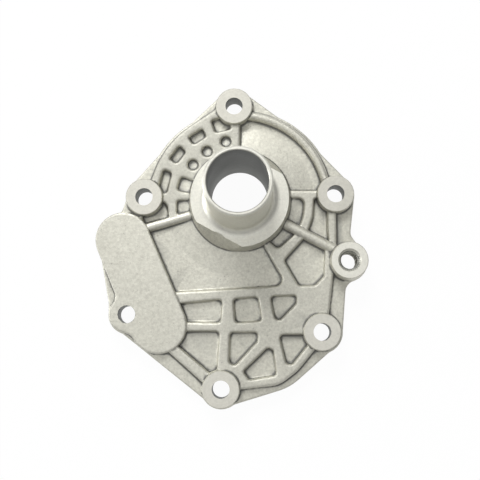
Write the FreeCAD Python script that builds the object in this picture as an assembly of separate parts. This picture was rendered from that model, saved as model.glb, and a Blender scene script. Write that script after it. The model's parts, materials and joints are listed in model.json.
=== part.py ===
"""Die cast front cover of a manual gearbox: one aluminium casting.

The snout stands on +Z and guides the clutch release bearing.  The joint face
that bolts to the gearbox lies in z = 0, and the snout's axis is the Z axis.
All sizes are in millimetres.
"""
import FreeCAD, Part
import math
import os

V = FreeCAD.Vector

# ---- levels above the joint face ----
FLANGE_TOP = 7.0          # flange lip, and the floor of every pocket between ribs
RIB_TOP = 10.5
PAD_TOP = 11.3            # flat lobe on the left
BOSS_TOP = 12.5           # machined seats of the flange bolts
PIVOT_TOP = 16.0          # machined seat of the fork pivot stud
COLLAR_TOP = 18.5
SNOUT_TOP = 64.7

# ---- casting habits ----
WALL_DRAFT_DEG = 7.0      # pocket and rib walls
BOSS_DRAFT_DEG = 2.0      # bosses and the lobe
RIB_EDGE_R = 1.2
POCKET_ROOT_R = 0.8
FLANGE_EDGE_R = 0.8
FLANGE_LIP = 0.8          # how far the flange stands out round a boss
PAD_EDGE_R = 1.0
BLEND_R = 5.0             # hollow corners of the flange outline

CORNER_LIP_R = 11.0       # the flange round the lower right bolt

# ---- snout and collar, about the Z axis ----
SNOUT_R = 16.3
SNOUT_BORE_R = 14.35
SNOUT_FLARE_R = 5.0
SNOUT_TIP_CHAMFER = 0.7
BORE_CHAMFER = 0.4
COLLAR_TOP_R = 25.0
COLLAR_SPREAD = 1.8       # how much wider the collar is at its foot
FLAT_DISTANCE = 21.0      # from the axis to each of the two flats, at the collar's top
FLAT_FACING_DEG = 241.2   # way that the lower flat faces; the other faces the opposite way
DOME_R = 39.0             # foot of the shallow cone over the bearing
DOME_RISE = 2.2

# ---- ribs that run round the axis ----
INNER_RIB_R = 35.9
INNER_RIB_WIDTH = 5.2
OUTER_CELL_LENGTH = 4.9   # from the inner rib to the outer one
OUTER_RIB_WIDTH = 4.4
FLANGE_SHOW = 1.7         # flange seen outside the outer rib
ROUND_CELL_R = 2.7

# ---- round spokes from the collar ----
PAD_SPOKE_WIDTH = 4.6
PAD_SPOKE_TOP = 10.8      # low enough to end in the lobe's side
PAD_SPOKE_DEG = 196.3     # way that it runs out from the axis
PIVOT_SPOKE_WIDTH = 5.2
PIVOT_SPOKE_TOP = 12.0
PIVOT_SPOKE_DEG = -27.6
RIM_TOP = 10.8            # round rim between the top and right bosses

# ---- holes and their bosses ----
TOP_BOLT = V(-3.0, 49.8)
LEFT_BOLT = V(-49.6, 1.8)
RIGHT_BOLT = V(49.5, 3.1)
LOWER_RIGHT_BOLT = V(41.8, -67.8)
BOTTOM_BOLT = V(-9.6, -96.6)
EAR_BOLT = V(-57.9, -58.8)
PIVOT = V(55.8, -31.6)
BOSS_R = 9.5
EAR_R = 9.3
BOLT_HOLE_R = 4.5
PIVOT_BORE_R = 4.25       # tapping drill of the M10 thread
PIVOT_MOUTH_R = 5.9

# ---- flat lobe: two round ends joined by tangents ----
PAD_UPPER_END = V(-60.5, -20.3)
PAD_LOWER_END = V(-41.6, -64.4)
PAD_UPPER_R = 14.2
PAD_LOWER_R = 14.5

# ---- back, inside the joint face ----
BEARING_SEAT_R = 36.0
BEARING_SEAT_DEPTH = 3.5
SEAL_SEAT_R = 20.0
SEAL_SEAT_DEPTH = 8.0
SEAT_RING_WIDTH = 5.0     # land left round the bearing seat
JOINT_LAND = 11.0         # width of the joint face along the outline
BOLT_LAND = 3.5           # land left outside each boss
BACK_RELIEF = 2.5
BACK_CORNER_R = 3.0

CLEAR = 1.0               # how far a cutting tool runs past what it cuts
WALL_LEAN = math.tan(math.radians(WALL_DRAFT_DEG))
BOSS_LEAN = math.tan(math.radians(BOSS_DRAFT_DEG))
RIB_BULGE = 0.5           # a corner this far out rounds off to the round rib beside it
WALL_SETBACK = 0.7        # how far the two cells by the lobe's spoke leave the round ribs
SPOKE_OVERLAP = 0.6       # how far a cell runs in under a spoke
HALF_DEPTH = (RIB_TOP - FLANGE_TOP) / 2
BOSS_LIP_R = BOSS_R + FLANGE_LIP
EAR_LIP_R = EAR_R + FLANGE_LIP
COLLAR_FOOT_R = COLLAR_TOP_R + COLLAR_SPREAD
UNDER_COLLAR_R = COLLAR_FOOT_R - 2 * CLEAR
BOSSED_BOLTS = [TOP_BOLT, LEFT_BOLT, RIGHT_BOLT, LOWER_RIGHT_BOLT, BOTTOM_BOLT]

# edges of the ribs that run round the axis
INNER_CELL_R = INNER_RIB_R - INNER_RIB_WIDTH / 2
OUTER_CELL_R = INNER_RIB_R + INNER_RIB_WIDTH / 2
CELL_LIMIT_R = OUTER_CELL_R + OUTER_CELL_LENGTH
OUTER_RIB_R = CELL_LIMIT_R + OUTER_RIB_WIDTH / 2
FIELD_EDGE_R = CELL_LIMIT_R + OUTER_RIB_WIDTH
FLANGE_R = FIELD_EDGE_R + FLANGE_SHOW
UNDER_BOSS = 5.2          # how far a rib runs on below the top boss


# ---------------------------------------------------------------- plane shapes
def polar(radius, degrees):
    a = math.radians(degrees)
    return V(radius * math.cos(a), radius * math.sin(a))


def corner(point, radius=0.0):
    return (point.x, point.y, radius)


def on(centre, degrees, radius=BOSS_LIP_R):
    """An outline's corner on the flange's lip round a boss, with no rounding of its own."""
    return corner(centre + polar(radius, degrees))


def arc_about_axis(radius, first, last):
    """The corner between two tangents, rounded to an arc about the axis."""
    half = math.radians(last - first) / 2
    return corner(polar(radius / math.cos(half), (first + last) / 2), radius)


def beside_spoke(way, reach, offset, radius=0.0):
    """A corner at a distance out along a spoke's centre line, offset to its left."""
    return corner(polar(reach, way) + polar(offset, way + 90), radius)


def rounded_wire(corners, z=0.0, grow=0.0):
    """Closed wire round (x, y, corner radius), with every side moved out by grow."""
    shifted = corners[1:] + corners[:1]
    if sum(a[0] * b[1] - b[0] * a[1] for a, b in zip(corners, shifted)) < 0:
        corners = corners[::-1]
    count = len(corners)
    points = [V(c[0], c[1]) for c in corners]
    sides = []
    for i in range(count):
        along = (points[(i + 1) % count] - points[i]).normalize()
        sides.append((points[i] + V(along.y, -along.x) * grow, along))
    starts, middles, ends = [], [], []
    for i in range(count):
        (p, d), (q, e) = sides[i - 1], sides[i]
        turn = d.x * e.y - d.y * e.x
        tip = p + d * (((q.x - p.x) * e.y - (q.y - p.y) * e.x) / turn)
        radius = corners[i][2]
        if radius > 0:
            radius += grow if turn > 0 else -grow
        half = math.acos(d.dot(e)) / 2
        inward = (e - d).normalize()
        starts.append(tip - d * radius * math.tan(half))
        ends.append(tip + e * radius * math.tan(half))
        middles.append(tip + inward * radius * (1 / math.cos(half) - 1))
    lift = V(0, 0, z)
    edges = []
    for i in range(count):
        if corners[i][2] > 0:
            edges.append(Part.Arc(starts[i] + lift, middles[i] + lift, ends[i] + lift).toShape())
        edges.append(Part.LineSegment(ends[i] + lift, starts[(i + 1) % count] + lift).toShape())
    return Part.Wire(edges)


def disc(centre, radius):
    return Part.Face(Part.Wire(Part.makeCircle(radius, centre)))


def joined_ends(c1, r1, c2, r2):
    """Two discs joined by their outer tangents."""
    along = (c2 - c1).normalize()
    across = V(-along.y, along.x)
    lean = math.asin((r1 - r2) / c1.distanceToPoint(c2))
    left = along * math.sin(lean) + across * math.cos(lean)
    right = along * math.sin(lean) - across * math.cos(lean)
    return Part.Face(Part.Wire([
        Part.LineSegment(c1 + right * r1, c2 + right * r2).toShape(),
        Part.Arc(c2 + right * r2, c2 + along * r2, c2 + left * r2).toShape(),
        Part.LineSegment(c2 + left * r2, c1 + left * r1).toShape(),
        Part.Arc(c1 + left * r1, c1 - along * r1, c1 + right * r1).toShape(),
    ]))


def merged(faces):
    return faces[0].multiFuse(faces[1:]).removeSplitter().Faces[0]


def with_soft_hollows(face, radius):
    """Round the hollow corners of an outline."""
    return face.makeOffset2D(radius).makeOffset2D(-radius)


# ---------------------------------------------------------------- solid shapes
def raised(face, bottom, top):
    solid = face.extrude(V(0, 0, top - bottom))
    solid.translate(V(0, 0, bottom))
    return solid


def drafted_boss(centre, radius, top):
    """A round boss that is radius wide at its top and grows by its draft to z = 0."""
    return Part.makeCone(radius + top * BOSS_LEAN, radius, top, centre)


def with_round_root(cut):
    root = [e for e in cut.Edges if e.BoundBox.ZMax < FLANGE_TOP + 0.01]
    return cut.makeFillet(POCKET_ROOT_R, root)


def drafted_cut(corners):
    """A pocket as drawn half way down, which opens upwards by its draft."""
    floor = rounded_wire(corners, FLANGE_TOP, -HALF_DEPTH * WALL_LEAN)
    mouth = rounded_wire(corners, RIB_TOP + CLEAR, (HALF_DEPTH + CLEAR) * WALL_LEAN)
    return with_round_root(Part.makeLoft([floor, mouth], True, True))


def round_cut(centre, radius):
    """The same pocket with a round outline."""
    floor_r = radius - HALF_DEPTH * WALL_LEAN
    mouth_r = radius + (HALF_DEPTH + CLEAR) * WALL_LEAN
    base = centre + V(0, 0, FLANGE_TOP)
    return with_round_root(Part.makeCone(floor_r, mouth_r, RIB_TOP + CLEAR - FLANGE_TOP, base))


def round_bar(way, start, end, width, top):
    """A straight rib with a round back, from z = 0 up to its top."""
    half = width / 2
    side = polar(half, way + 90)
    shoulder = V(0, 0, top - half)
    profile = Part.Wire([
        Part.LineSegment(side * -1, side * -1 + shoulder).toShape(),
        Part.Arc(side * -1 + shoulder, V(0, 0, top), side + shoulder).toShape(),
        Part.LineSegment(side + shoulder, side).toShape(),
        Part.LineSegment(side, side * -1).toShape(),
    ])
    profile.translate(polar(start, way))
    return Part.Face(profile).extrude(polar(end - start, way))


def round_ring(radius, first, last, width, top):
    """The same rib bent round the axis, from one angle to another."""
    half = width / 2
    inner, outer, shoulder = radius - half, radius + half, top - half
    profile = Part.Wire([
        Part.LineSegment(V(inner, 0, 0), V(inner, 0, shoulder)).toShape(),
        Part.Arc(V(inner, 0, shoulder), V(radius, 0, top), V(outer, 0, shoulder)).toShape(),
        Part.LineSegment(V(outer, 0, shoulder), V(outer, 0, 0)).toShape(),
        Part.LineSegment(V(outer, 0, 0), V(inner, 0, 0)).toShape(),
    ])
    profile.rotate(V(0, 0, 0), V(0, 0, 1), first)
    return Part.Face(profile).revolve(V(0, 0, 0), V(0, 0, 1), last - first)


# ---------------------------------------------------------------- flange
def flange_outline():
    """A round plate about the axis, with webs that run as tangents from boss to boss."""
    web = rounded_wire([
        on(TOP_BOLT, 54),
        corner(polar(FLANGE_R, 66)),
        corner(polar(FLANGE_R, 31)),
        on(RIGHT_BOLT, 42),
        on(RIGHT_BOLT, -12),
        (57.3, -17.5, 0),
        on(PIVOT, 60),
        on(PIVOT, -80),
        (54.6, -44.8, 6),
        (52.8, -67.0, 5),
        on(LOWER_RIGHT_BOLT, -49),
        (25.5, -95.8, 28),
        on(BOTTOM_BOLT, -72, BOSS_R),
        on(BOTTOM_BOLT, -128, BOSS_R),
        on(EAR_BOLT, -128, EAR_R),
        on(EAR_BOLT, 172, EAR_LIP_R),
        (-68.0, -52.5, 0),
        on(PAD_UPPER_END, 200, PAD_UPPER_R - FLANGE_LIP),
        on(PAD_UPPER_END, 97, PAD_UPPER_R),
        on(LEFT_BOLT, 185),
        on(LEFT_BOLT, 138),
        corner(polar(FLANGE_R, 149)),
        (-23.6, 44.2, 0),
        on(TOP_BOLT, 135),
    ])
    faces = [Part.Face(web), disc(V(0, 0, 0), FLANGE_R)]
    faces += [disc(bolt, BOSS_LIP_R) for bolt in BOSSED_BOLTS + [PIVOT]]
    faces.append(disc(LOWER_RIGHT_BOLT, CORNER_LIP_R))
    faces += [disc(EAR_BOLT, EAR_LIP_R), disc(PAD_UPPER_END, PAD_UPPER_R)]
    return with_soft_hollows(merged(faces), BLEND_R)


def flange():
    plate = raised(flange_outline(), 0, FLANGE_TOP)
    rim = [e for e in plate.Edges if e.BoundBox.ZMin > FLANGE_TOP - 0.01]
    return plate.makeFillet(FLANGE_EDGE_R, rim)


# ---------------------------------------------------------------- rib fields
def ring_cell(inner, outer, first, last, radius):
    """A pocket between ribs round the axis and ribs that run out from it."""
    return [
        corner(polar(inner, first), radius),
        corner(polar(outer, first), radius),
        corner(polar(outer, last), radius),
        corner(polar(inner, last), radius),
    ]


def rib_field(outline, cuts):
    """A plateau at rib height, with its pockets cut in and its edges rounded."""
    foot = rounded_wire(outline, FLANGE_TOP / 2, FLANGE_TOP / 2 * WALL_LEAN)
    top = rounded_wire(outline, RIB_TOP, (FLANGE_TOP - RIB_TOP) * WALL_LEAN)
    field = Part.makeLoft([foot, top], True, True).cut(cuts)
    edges = [e for e in field.Edges if e.BoundBox.ZMin > RIB_TOP - 0.01]
    return field.makeFillet(RIB_EDGE_R, edges)


def upper_left_field():
    """Two rows of cells round the axis, between the top boss and the lobe."""
    beside = PAD_SPOKE_WIDTH / 2
    outline = [
        (0.4, FIELD_EDGE_R + UNDER_BOSS, 0),
        (-7.0, FIELD_EDGE_R + UNDER_BOSS, 0),
        arc_about_axis(FIELD_EDGE_R, 123, 158),
        corner(polar(FIELD_EDGE_R + RIB_BULGE, 170), 8),
        (-55.5, 0.0, 2),
        (-55.5, -9.0, 2),
        beside_spoke(PAD_SPOKE_DEG, 54.0, beside - SPOKE_OVERLAP),
        beside_spoke(PAD_SPOKE_DEG, UNDER_COLLAR_R, beside - SPOKE_OVERLAP),
        (0.4, 8.0, 0),
    ]
    cells = [
        ring_cell(OUTER_CELL_R, OUTER_RIB_R, 97, 109.5, 1.5),
        ring_cell(OUTER_CELL_R, CELL_LIMIT_R, 117, 129, 1.5),
        ring_cell(OUTER_CELL_R, CELL_LIMIT_R, 137, 149, 1.5),
        ring_cell(OUTER_CELL_R, CELL_LIMIT_R, 157, 174, 1.5),
        ring_cell(UNDER_COLLAR_R, INNER_CELL_R, 157, 170.5, 1.8),
        [
            corner(polar(INNER_CELL_R - WALL_SETBACK, 179.5), 1.5),
            corner(polar(UNDER_COLLAR_R, 179.5), 1.5),
            beside_spoke(PAD_SPOKE_DEG, UNDER_COLLAR_R, -beside, 1),
            beside_spoke(PAD_SPOKE_DEG, INNER_CELL_R, -beside, 1),
        ],
        [
            corner(polar(OUTER_CELL_R + WALL_SETBACK, 181), 1.5),
            corner(polar(OUTER_CELL_R - WALL_SETBACK, 184.5), 1.5),
            beside_spoke(PAD_SPOKE_DEG, OUTER_CELL_R - WALL_SETBACK, -beside, 1),
            beside_spoke(PAD_SPOKE_DEG, 51.5, -beside, 1),
            (-51.7, -0.6, 1),
        ],
    ]
    cuts = [drafted_cut(cell) for cell in cells]
    for inside_rib, way in ((1.0, 103), (2.0, 123), (2.3, 142)):
        cuts.append(round_cut(polar(INNER_CELL_R - inside_rib, way), ROUND_CELL_R))
    return rib_field(outline, cuts)


def lower_field():
    """Grid of pockets below the collar, and the cells between the collar and the right edge."""
    outline = [
        (15.0, 5.6, 0),
        (46.0, 5.6, 0),
        (50.1, 3.0, 0),
        (50.0, -27.0, 0),
        (48.6, -36.0, 0),
        (45.0, -64.0, 0),
        (40.8, -73.8, 0),
        (29.5, -87.5, 20),
        (20.0, -94.7, 15),
        (-3.0, -97.3, 0),
        (-17.0, -95.3, 0),
        (-38.3, -76.5, 0),
        (-41.0, -70.0, 0),
        (-37.0, -47.3, 0),
        (24.0, -43.9, 3.5),
        (5.0, -12.0, 0),
    ]
    under = PIVOT_SPOKE_WIDTH / 2 - SPOKE_OVERLAP
    cells = [
        # beside the collar, on both sides of the pivot spoke
        [
            corner(polar(UNDER_COLLAR_R, 2.8), 1),
            corner(polar(INNER_CELL_R, 2), 3),
            corner(polar(INNER_CELL_R + RIB_BULGE, -13.7), 20),
            beside_spoke(PIVOT_SPOKE_DEG, INNER_CELL_R, under, 1),
            beside_spoke(PIVOT_SPOKE_DEG, UNDER_COLLAR_R, under, 1),
        ],
        [
            corner(polar(OUTER_CELL_R, 1.8), 1.5),
            (45.4, 1.2, 1),
            (45.2, -15.0, 20),
            beside_spoke(PIVOT_SPOKE_DEG, 51.0, under, 1),
            beside_spoke(PIVOT_SPOKE_DEG, OUTER_CELL_R, under, 1),
            corner(polar(OUTER_CELL_R + RIB_BULGE, -11.8), 20),
        ],
        [
            beside_spoke(PIVOT_SPOKE_DEG, UNDER_COLLAR_R, -under, 1),
            beside_spoke(PIVOT_SPOKE_DEG, INNER_CELL_R, -under, 1),
            corner(polar(INNER_CELL_R - 1.4, -52.1), 2.2),
            corner(polar(UNDER_COLLAR_R, -54.8), 1),
        ],
        [
            beside_spoke(PIVOT_SPOKE_DEG, OUTER_CELL_R, -under, 1),
            beside_spoke(PIVOT_SPOKE_DEG, 50.5, -under, 1),
            (43.2, -39.2, 3),
            (38.6, -44.0, 3),
            (30.2, -44.2, 2.5),
            corner(polar(OUTER_CELL_R, -53.8), 2),
        ],
        # upper row of the grid
        [(-33.0, -53.6, 1), (-8.9, -51.1, 2), (-9.9, -63.0, 2), (-33.0, -62.6, 1)],
        [(-3.3, -50.9, 1.8), (9.2, -49.8, 1.8), (11.4, -62.2, 1.8), (-2.4, -63.1, 1.8)],
        [(15.6, -49.6, 1.8), (29.4, -49.0, 1.8), (28.9, -53.2, 2.5), (18.5, -63.9, 2.2)],
        # lower row
        [(-33.0, -67.5, 1), (-10.4, -67.4, 2), (-11.7, -86.8, 1.5), (-15.5, -88.3, 1), (-33.5, -73.2, 1)],
        [(-5.0, -68.0, 1.8), (9.3, -67.9, 1.8), (8.9, -72.4, 2), (-5.7, -88.3, 2.4)],
        [(14.2, -75.6, 1.8), (17.0, -77.0, 1.5), (18.6, -89.6, 2), (4.6, -91.9, 1.8), (1.6, -87.7, 1.5)],
        [(20.0, -69.1, 2), (38.6, -69.1, 1), (24.3, -87.0, 2.4)],
    ]
    return rib_field(outline, [drafted_cut(cell) for cell in cells])


# ---------------------------------------------------------------- what stands on the plate
def lobe():
    pad = joined_ends(PAD_UPPER_END, PAD_UPPER_R, PAD_LOWER_END, PAD_LOWER_R)
    ear = joined_ends(EAR_BOLT, EAR_R, PAD_LOWER_END, EAR_R)
    outline = with_soft_hollows(merged([pad, ear]), BLEND_R)
    solid = raised(outline, 0, PAD_TOP)
    rim = [e for e in solid.Edges if e.BoundBox.ZMin > PAD_TOP - 0.01]
    return solid.makeFillet(PAD_EDGE_R, rim)


def snout_and_collar():
    """Turned outside of the snout, its flare, and the collar down to the plate."""
    tip = SNOUT_TIP_CHAMFER
    flare = SNOUT_FLARE_R
    bend = flare * (1 - math.sqrt(0.5))
    profile = Part.Wire([
        Part.LineSegment(V(0, 0, 0), V(COLLAR_FOOT_R, 0, 0)).toShape(),
        Part.LineSegment(V(COLLAR_FOOT_R, 0, 0), V(COLLAR_FOOT_R, 0, FLANGE_TOP)).toShape(),
        Part.LineSegment(V(COLLAR_FOOT_R, 0, FLANGE_TOP), V(COLLAR_TOP_R, 0, COLLAR_TOP)).toShape(),
        Part.LineSegment(V(COLLAR_TOP_R, 0, COLLAR_TOP), V(SNOUT_R + flare, 0, COLLAR_TOP)).toShape(),
        Part.Arc(
            V(SNOUT_R + flare, 0, COLLAR_TOP),
            V(SNOUT_R + bend, 0, COLLAR_TOP + bend),
            V(SNOUT_R, 0, COLLAR_TOP + flare),
        ).toShape(),
        Part.LineSegment(V(SNOUT_R, 0, COLLAR_TOP + flare), V(SNOUT_R, 0, SNOUT_TOP - tip)).toShape(),
        Part.LineSegment(V(SNOUT_R, 0, SNOUT_TOP - tip), V(SNOUT_R - tip, 0, SNOUT_TOP)).toShape(),
        Part.LineSegment(V(SNOUT_R - tip, 0, SNOUT_TOP), V(0, 0, SNOUT_TOP)).toShape(),
        Part.LineSegment(V(0, 0, SNOUT_TOP), V(0, 0, 0)).toShape(),
    ])
    turned = Part.Face(profile).revolve(V(0, 0, 0), V(0, 0, 1), 360)
    return turned.cut([collar_flat(FLAT_FACING_DEG), collar_flat(FLAT_FACING_DEG + 180)])


def collar_flat(facing):
    """Wedge that cuts one sloping flat, from the collar's top edge out to its foot."""
    out = polar(1, facing)
    foot = V(0, 0, FLANGE_TOP + DOME_RISE)
    fall = (COLLAR_FOOT_R - FLAT_DISTANCE) / (COLLAR_TOP - foot.z)
    above = V(0, 0, COLLAR_TOP + CLEAR)
    wedge = Part.makePolygon([
        out * COLLAR_FOOT_R + foot,
        out * (FLAT_DISTANCE - fall * CLEAR) + above,
        out * (COLLAR_FOOT_R + CLEAR) + above,
        out * (COLLAR_FOOT_R + CLEAR) + foot,
        out * COLLAR_FOOT_R + foot,
    ])
    wedge.translate(polar(COLLAR_FOOT_R, facing - 90))
    return Part.Face(wedge).extrude(polar(2 * COLLAR_FOOT_R, facing + 90))


def bearing_dome():
    """Shallow cone over the bearing seat, from the plate up to the collar's foot."""
    return Part.makeCone(DOME_R, COLLAR_FOOT_R, DOME_RISE, V(0, 0, FLANGE_TOP))


def spokes_and_rim():
    lobe_reach = PAD_UPPER_END.Length - PAD_UPPER_R / 2
    rim_start = math.degrees(math.atan2(RIGHT_BOLT.y, RIGHT_BOLT.x))
    rim_end = math.degrees(math.atan2(TOP_BOLT.y, TOP_BOLT.x))
    return [
        round_bar(PAD_SPOKE_DEG, UNDER_COLLAR_R, lobe_reach, PAD_SPOKE_WIDTH, PAD_SPOKE_TOP),
        round_bar(PIVOT_SPOKE_DEG, UNDER_COLLAR_R, PIVOT.Length, PIVOT_SPOKE_WIDTH, PIVOT_SPOKE_TOP),
        round_ring(OUTER_RIB_R, rim_start, rim_end, OUTER_RIB_WIDTH, RIM_TOP),
    ]


# ---------------------------------------------------------------- back and holes
def back_relief():
    """Shallow hollow inside the joint face, clear of the bolts and the bearing seat."""
    hollow = flange_outline().makeOffset2D(-JOINT_LAND)
    lands = [disc(bolt, BOSS_R + BOLT_LAND) for bolt in BOSSED_BOLTS + [EAR_BOLT, PIVOT]]
    lands.append(disc(V(0, 0, 0), BEARING_SEAT_R + SEAT_RING_WIDTH))
    hollow = max(hollow.cut(lands).Faces, key=lambda face: face.Area)
    rounded = hollow.makeOffset2D(-BACK_CORNER_R).makeOffset2D(BACK_CORNER_R)
    return raised(rounded, 0, BACK_RELIEF)


def turned_bore():
    """Bearing seat, seal seat and snout bore, turned from the back in one setting."""
    seal_end = BEARING_SEAT_DEPTH + SEAL_SEAT_DEPTH
    steps = [
        V(0, 0, -CLEAR),
        V(BEARING_SEAT_R, 0, -CLEAR),
        V(BEARING_SEAT_R, 0, BEARING_SEAT_DEPTH),
        V(SEAL_SEAT_R, 0, BEARING_SEAT_DEPTH),
        V(SEAL_SEAT_R, 0, seal_end),
        V(SNOUT_BORE_R, 0, seal_end),
        V(SNOUT_BORE_R, 0, SNOUT_TOP - BORE_CHAMFER),
        V(SNOUT_BORE_R + BORE_CHAMFER + CLEAR, 0, SNOUT_TOP + CLEAR),
        V(0, 0, SNOUT_TOP + CLEAR),
        V(0, 0, -CLEAR),
    ]
    return Part.Face(Part.makePolygon(steps)).revolve(V(0, 0, 0), V(0, 0, 1), 360)


def through_hole(centre, radius, top):
    return Part.makeCylinder(radius, top + 2 * CLEAR, centre - V(0, 0, CLEAR))


def pivot_hole():
    """Tapping bore for the fork pivot stud, with a countersunk mouth."""
    bore = through_hole(PIVOT, PIVOT_BORE_R, PIVOT_TOP)
    sink = PIVOT_MOUTH_R - PIVOT_BORE_R
    mouth = PIVOT + V(0, 0, PIVOT_TOP - sink)
    return [bore, Part.makeCone(PIVOT_BORE_R, PIVOT_MOUTH_R + CLEAR, sink + CLEAR, mouth)]


# ---------------------------------------------------------------- the casting
def front_cover():
    bosses = [drafted_boss(bolt, BOSS_R, BOSS_TOP) for bolt in BOSSED_BOLTS]
    bosses.append(drafted_boss(PIVOT, BOSS_R, PIVOT_TOP))
    raised_parts = [upper_left_field(), lower_field(), bearing_dome(), lobe(), snout_and_collar()]
    casting = flange().multiFuse(raised_parts + spokes_and_rim() + bosses)
    holes = [through_hole(bolt, BOLT_HOLE_R, BOSS_TOP) for bolt in BOSSED_BOLTS + [EAR_BOLT]]
    return casting.cut(holes + pivot_hole() + [back_relief(), turned_bore()])


os.makedirs("parts", exist_ok=True)
cover = front_cover()
cover.exportStep("parts/front_cover.step")
print("solids", len(cover.Solids), "valid", cover.isValid(), "volume", round(cover.Volume))
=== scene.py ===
"""Dresses a die cast gearbox front cover: cast skin, machined faces and studio.

The casting is made as the foundry and the machine shop make it.  A raw
casting with stock on its machined faces is softened like a real die casting,
then its seats, bores, snout and thread are cut to size.
"""
import json
import math

import bmesh
import bpy
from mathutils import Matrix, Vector


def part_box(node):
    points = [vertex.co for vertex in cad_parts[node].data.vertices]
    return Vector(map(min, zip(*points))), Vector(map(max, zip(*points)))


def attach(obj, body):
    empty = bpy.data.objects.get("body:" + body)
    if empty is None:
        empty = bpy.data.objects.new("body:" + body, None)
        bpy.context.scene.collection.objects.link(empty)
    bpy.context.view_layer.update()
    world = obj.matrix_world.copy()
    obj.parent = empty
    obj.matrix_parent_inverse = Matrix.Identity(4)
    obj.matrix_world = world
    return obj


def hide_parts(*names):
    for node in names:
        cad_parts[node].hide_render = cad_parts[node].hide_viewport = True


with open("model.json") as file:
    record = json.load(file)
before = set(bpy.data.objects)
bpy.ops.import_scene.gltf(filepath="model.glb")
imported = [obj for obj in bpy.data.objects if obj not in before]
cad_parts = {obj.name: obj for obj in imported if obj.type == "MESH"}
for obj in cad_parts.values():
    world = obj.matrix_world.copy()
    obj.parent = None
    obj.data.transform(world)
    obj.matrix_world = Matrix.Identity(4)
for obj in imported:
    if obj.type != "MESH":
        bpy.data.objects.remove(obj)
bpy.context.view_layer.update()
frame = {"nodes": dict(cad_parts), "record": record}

bl_info = {
    "name": "Die cast front cover",
    "version": (1, 0, 0),
    "blender": (4, 5, 0),
    "location": "3D View > Sidebar > Front Cover",
    "description": "Raw casting, machining, finishes and studio of a gearbox front cover",
    "category": "Object",
}

MM = 0.001
NODE = "front_cover"
BODY = "root"
MOUNTS = {mount["name"]: mount for mount in frame["record"]["mounts"]}
BOLTS = [name for name in MOUNTS if name.startswith("bolt_hole_")]
LOWEST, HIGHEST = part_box(NODE)
SLIVER = 0.003 * MM                   # edges shorter than this are merged
TURN_STEPS = 192
DRILL_STEPS = 96
THREAD_STEPS = 64
THREAD_ROWS = 12                      # rows of points in one turn of the thread
FLARE_STEPS = 12
FLARE_TAIL = 4                        # last points of the flare, which the core leaves out
WELD = 0.001 * MM                     # points closer than this are one
ON_FACE = 0.002 * MM                  # points of the frame's mesh this near lie in a face
SOFTENING = 0.5                       # how far one pass moves a point of the skin

# shares of a radius within which a point or a face still belongs to its seat, hole or thread
SEAT_REACH = 1.02
PIVOT_REACH = 1.1
FACED_REACH = 1.3
THREAD_REACH = 1.01
CREST_REACH = 1.05

# how machined faces are told apart
NEAR = 0.02 * MM                      # a face this near to a level lies in it
LEVEL = 0.999                         # upward part of a level face's normal
FLANK = 0.75                          # a thread's flank leans up less than this
BACK_LEAN = 0.5                       # a wall or roof of the back's seats leans up less than this
BACK_HEIGHT = 12 * MM                 # the back's seats lie below this
SHARP_TURN_DEG = 28                   # machined faces that meet at more than this stay sharp
FINISH_COSINE = 0.98                  # two finishes that meet below this cosine stay sharp

# painted shade in the hollows of the cast skin, and stains on its ribs
FLAT_ENOUGH = 0.45                    # share of a full hollow that is left without painted shade
SHARPEST = 4000.0                     # largest bend of the skin that counts, in 1/m
SHORT_EDGE = 0.05 * MM                # shorter edges count as this long when the bend is measured
BEND_PASSES = 2                       # times that the bend is evened out with its neighbours
RIB_STAIN_WAY = (-0.75, 0.66)         # from the axis to the ribs that the die stained most
OTHER_RIBS = 0.3                      # share of the stain on all other ribs
FACING_START, FACING_SPAN = 0.4, 0.4  # from little to full stain, by how a rib lies to that way

# layers of noise: cells per metre, detail, roughness, lowest and highest value used
BROAD_LAYER = (28, 4, 0.6, 0.35, 0.7)
MIDDLE_LAYER = (420, 4, 0.7, 0.35, 0.68)
FINE_LAYER = (750, 3, 0.75, 0.38, 0.62)
PORE_PATCHES = (210, 2, 0.6, 0.56, 0.66)
STREAK_LAYER = (1.0, 5, 0.75, 0.3, 0.7)
BROAD_SHARE, MIDDLE_SHARE, FINE_SHARE = 0.1, 0.35, 0.55
FINE_HEIGHT, MIDDLE_HEIGHT = 0.6, 0.5
PORE_SCALE = 620                      # cells per metre that may each hold a pore
PORE_EDGE = (0.08, 0.26)              # from the inside of a pore to its rim
STREAK_DENSITY = 2600.0               # streaks per metre of the tool's travel

# surface of the finishes
CAST_PORES, CUT_PORES = 0.7, 0.3
CAST_BUMP, CUT_BUMP = 1.0, 0.3
CUT_STAIN = 0.85                      # a machined face's stain, as a share of its colour
WEAR_SMOOTH, WEAR_ROUGH = 0.05, 0.07  # how far wear moves the roughness
RING_STRENGTH = 0.6
STREAK_DARK, STREAK_LIGHT = 0.9, 1.03
TURNED_SMOOTHER, MILLED_SMOOTHER = 0.16, 0.15

# studio; ways are directions from the object, fades are from and to a share of that way
UP_WAY = (0, 0, 1)
CEILING_WAY = (0.0, -0.25, 0.97)      # to the middle of the bright ceiling
BRIGHT_WAY = (-0.45, 0.75, 0.48)      # to the bright side of the room
BACKDROP_FADE = (0.26, 0.34)
CEILING_FADE = (0.5, 0.9)
BRIGHT_FADE = (0.0, 0.9)
CAMERA_PLACE = (7.8 * MM, -72.2 * MM, 436.5 * MM)
CAMERA_TURN_DEG = (6.90, 1.038, 0.0)
CAMERA_NEAR = 0.01
FLOOR_HALF_WIDTH = 20.0
FLOOR_GAP = 0.05 * MM                 # keeps the paper clear of the joint face
PAPER_WHITE = 0.96                    # share of plain white in the paper as it is seen
LIT_POINT = (0, -0.02, 0)
KEY_PLACE, KEY_WIDTH, KEY_HEIGHT = (-0.4, 1.6, 1.6), 1.0, 0.8
SIDE_PLACE, SIDE_WIDTH, SIDE_HEIGHT = (-1.3, 0.0, 0.45), 0.5, 0.4

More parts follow.
